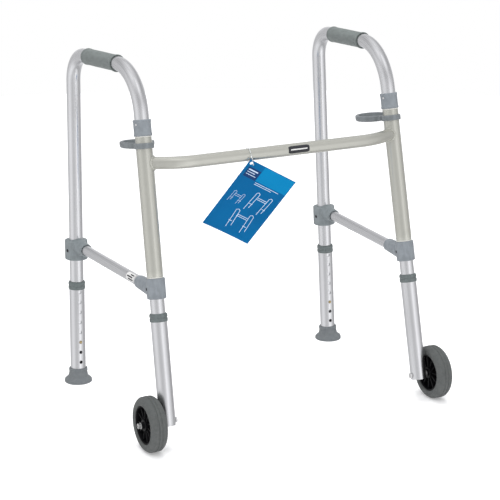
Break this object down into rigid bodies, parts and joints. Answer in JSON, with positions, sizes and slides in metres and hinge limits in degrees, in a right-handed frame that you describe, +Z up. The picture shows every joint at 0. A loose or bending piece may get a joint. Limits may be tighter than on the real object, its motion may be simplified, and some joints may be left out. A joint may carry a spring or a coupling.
{
  "type": "walking frame",
  "caption": "Folding walking frame with front wheels, rubber rear tips, height-adjustable legs, side braces and a bowed front crossbar.",
  "frame": {"origin": "on the floor, under the middle of the whole frame", "axes": "+Z up, X across the frame, -Y towards the crossbar and wheels, +Y towards the open side where the user stands"},
  "size_m": [0.719, 0.5332, 0.759],
  "materials": {
    "aluminium_tube": "satin anodised",
    "extension_tube": "satin anodised",
    "painted_frame": "glossy warm grey enamel",
    "grey_plastic": "fine moulded grain",
    "dark_ring": "moulded",
    "grip_foam": "soft foamed vinyl",
    "tip_rubber": "moulded rubber",
    "wheel_tyre": "ribbed solid rubber",
    "black_hub": "moulded gloss",
    "white_nylon": "turned nylon",
    "zinc_steel": "zinc plated",
    "spring_steel": "oiled spring steel",
    "dark_rivet": "blackened rivet",
    "brass_button": "polished brass",
    "blue_card": "laminated printed card",
    "clear_tie": "clear plastic tie"
  },
  "bodies": {
    "front_frame": {"left_sleeve": "painted_frame", "left_sleeve_liners": "white_nylon", "right_sleeve": "painted_frame", "right_sleeve_liners": "white_nylon", "crossbar": "painted_frame"},
    "left_side_frame": {"left_side_tube": "aluminium_tube", "left_grip": "grip_foam", "left_top_collar": "grey_plastic", "left_front_connector": "grey_plastic", "left_rear_connector": "grey_plastic", "left_brace": "aluminium_tube", "left_connector_rivets": "dark_rivet", "left_snap_springs": "spring_steel", "left_spring_stop": "white_nylon"},
    "left_trigger_latch": {"left_trigger": "grey_plastic", "left_lock_pin": "zinc_steel", "left_trigger_spring": "spring_steel"},
    "left_front_snap": {"left_front_button": "brass_button"},
    "left_rear_snap": {"left_rear_button": "brass_button"},
    "left_front_leg": {"left_front_extension": "extension_tube", "left_front_ring": "dark_ring", "left_axle_bolt": "zinc_steel", "left_axle_nut": "zinc_steel", "left_axle_washers": "zinc_steel"},
    "left_rear_leg": {"left_rear_extension": "extension_tube", "left_rear_ring": "dark_ring", "left_rear_tip": "tip_rubber", "left_tip_washer": "zinc_steel"},
    "left_wheel": {"left_tyre": "wheel_tyre", "left_wheel_hub": "black_hub", "left_hub_bush": "black_hub"},
    "right_side_frame": {"right_side_tube": "aluminium_tube", "right_grip": "grip_foam", "right_top_collar": "grey_plastic", "right_front_connector": "grey_plastic", "right_rear_connector": "grey_plastic", "right_brace": "aluminium_tube", "right_connector_rivets": "dark_rivet", "right_snap_springs": "spring_steel", "right_spring_stop": "white_nylon"},
    "right_trigger_latch": {"right_trigger": "grey_plastic", "right_lock_pin": "zinc_steel", "right_trigger_spring": "spring_steel"},
    "right_front_snap": {"right_front_button": "brass_button"},
    "right_rear_snap": {"right_rear_button": "brass_button"},
    "right_front_leg": {"right_front_extension": "extension_tube", "right_front_ring": "dark_ring", "right_axle_bolt": "zinc_steel", "right_axle_nut": "zinc_steel", "right_axle_washers": "zinc_steel"},
    "right_rear_leg": {"right_rear_extension": "extension_tube", "right_rear_ring": "dark_ring", "right_rear_tip": "tip_rubber", "right_tip_washer": "zinc_steel"},
    "right_wheel": {"right_tyre": "wheel_tyre", "right_wheel_hub": "black_hub", "right_hub_bush": "black_hub"},
    "hang_tag": {"tag_card": "blue_card", "tag_tie": "clear_tie"}
  },
  "joints": [
    {"name": "left_side_fold", "type": "hinge", "parent": "front_frame", "child": "left_side_frame", "pos_m": [-0.28489, -0.09783, 0.56397], "axis": [-0.0191, -0.2151, -0.9764], "range_deg": [0, 90]},
    {"name": "left_trigger_slide", "type": "slide", "parent": "front_frame", "child": "left_trigger_latch", "axis": [0.0191, 0.2151, 0.9764], "range_m": [0, 0.01], "stiffness_N_per_m": 400, "springref_m": -0.01, "deforming": ["left_trigger_spring"]},
    {"name": "left_front_button_press", "type": "slide", "parent": "left_side_frame", "child": "left_front_snap", "axis": [0.049, -0.9756, 0.214], "range_m": [0, 0.0036], "stiffness_N_per_m": 900, "springref_m": -0.003, "deforming": ["left_snap_springs"]},
    {"name": "left_front_leg_length", "type": "slide", "parent": "left_side_frame", "child": "left_front_leg", "axis": [-0.0191, -0.2151, -0.9764], "range_m": [-0.0228, 0.114]},
    {"name": "left_rear_button_press", "type": "slide", "parent": "left_side_frame", "child": "left_rear_snap", "axis": [-0.0449, 0.9982, -0.0389], "range_m": [0, 0.0036], "stiffness_N_per_m": 900, "springref_m": -0.003, "deforming": ["left_snap_springs"]},
    {"name": "left_rear_leg_length", "type": "slide", "parent": "left_side_frame", "child": "left_rear_leg", "axis": [-0.0274, -0.0401, -0.9988], "range_m": [-0.0456, 0.0912]},
    {"name": "left_wheel_spin", "type": "hinge", "parent": "left_front_leg", "child": "left_wheel", "pos_m": [-0.33238, -0.20949, 0.05715], "axis": [-1, 0, 0], "continuous": true},
    {"name": "right_side_fold", "type": "hinge", "parent": "front_frame", "child": "right_side_frame", "pos_m": [0.28489, -0.09783, 0.56397], "axis": [-0.0191, 0.2151, 0.9764], "range_deg": [0, 72]},
    {"name": "right_trigger_slide", "type": "slide", "parent": "front_frame", "child": "right_trigger_latch", "axis": [-0.0191, 0.2151, 0.9764], "range_m": [0, 0.01], "stiffness_N_per_m": 400, "springref_m": -0.01, "deforming": ["right_trigger_spring"]},
    {"name": "right_front_button_press", "type": "slide", "parent": "right_side_frame", "child": "right_front_snap", "axis": [-0.049, -0.9756, 0.214], "range_m": [0, 0.0036], "stiffness_N_per_m": 900, "springref_m": -0.003, "deforming": ["right_snap_springs"]},
    {"name": "right_front_leg_length", "type": "slide", "parent": "right_side_frame", "child": "right_front_leg", "axis": [0.0191, -0.2151, -0.9764], "range_m": [-0.0228, 0.114]},
    {"name": "right_rear_button_press", "type": "slide", "parent": "right_side_frame", "child": "right_rear_snap", "axis": [0.0449, 0.9982, -0.0389], "range_m": [0, 0.0036], "stiffness_N_per_m": 900, "springref_m": -0.003, "deforming": ["right_snap_springs"]},
    {"name": "right_rear_leg_length", "type": "slide", "parent": "right_side_frame", "child": "right_rear_leg", "axis": [0.0274, -0.0401, -0.9988], "range_m": [-0.0456, 0.0912]},
    {"name": "right_wheel_spin", "type": "hinge", "parent": "right_front_leg", "child": "right_wheel", "pos_m": [0.33238, -0.20949, 0.05715], "axis": [1, 0, 0], "continuous": true},
    {"name": "tag_swing", "type": "hinge", "parent": "front_frame", "child": "hang_tag", "pos_m": [-0.0726, -0.12783, 0.56397], "axis": [-1, 0, 0], "range_deg": [-12, 40]}
  ]
}
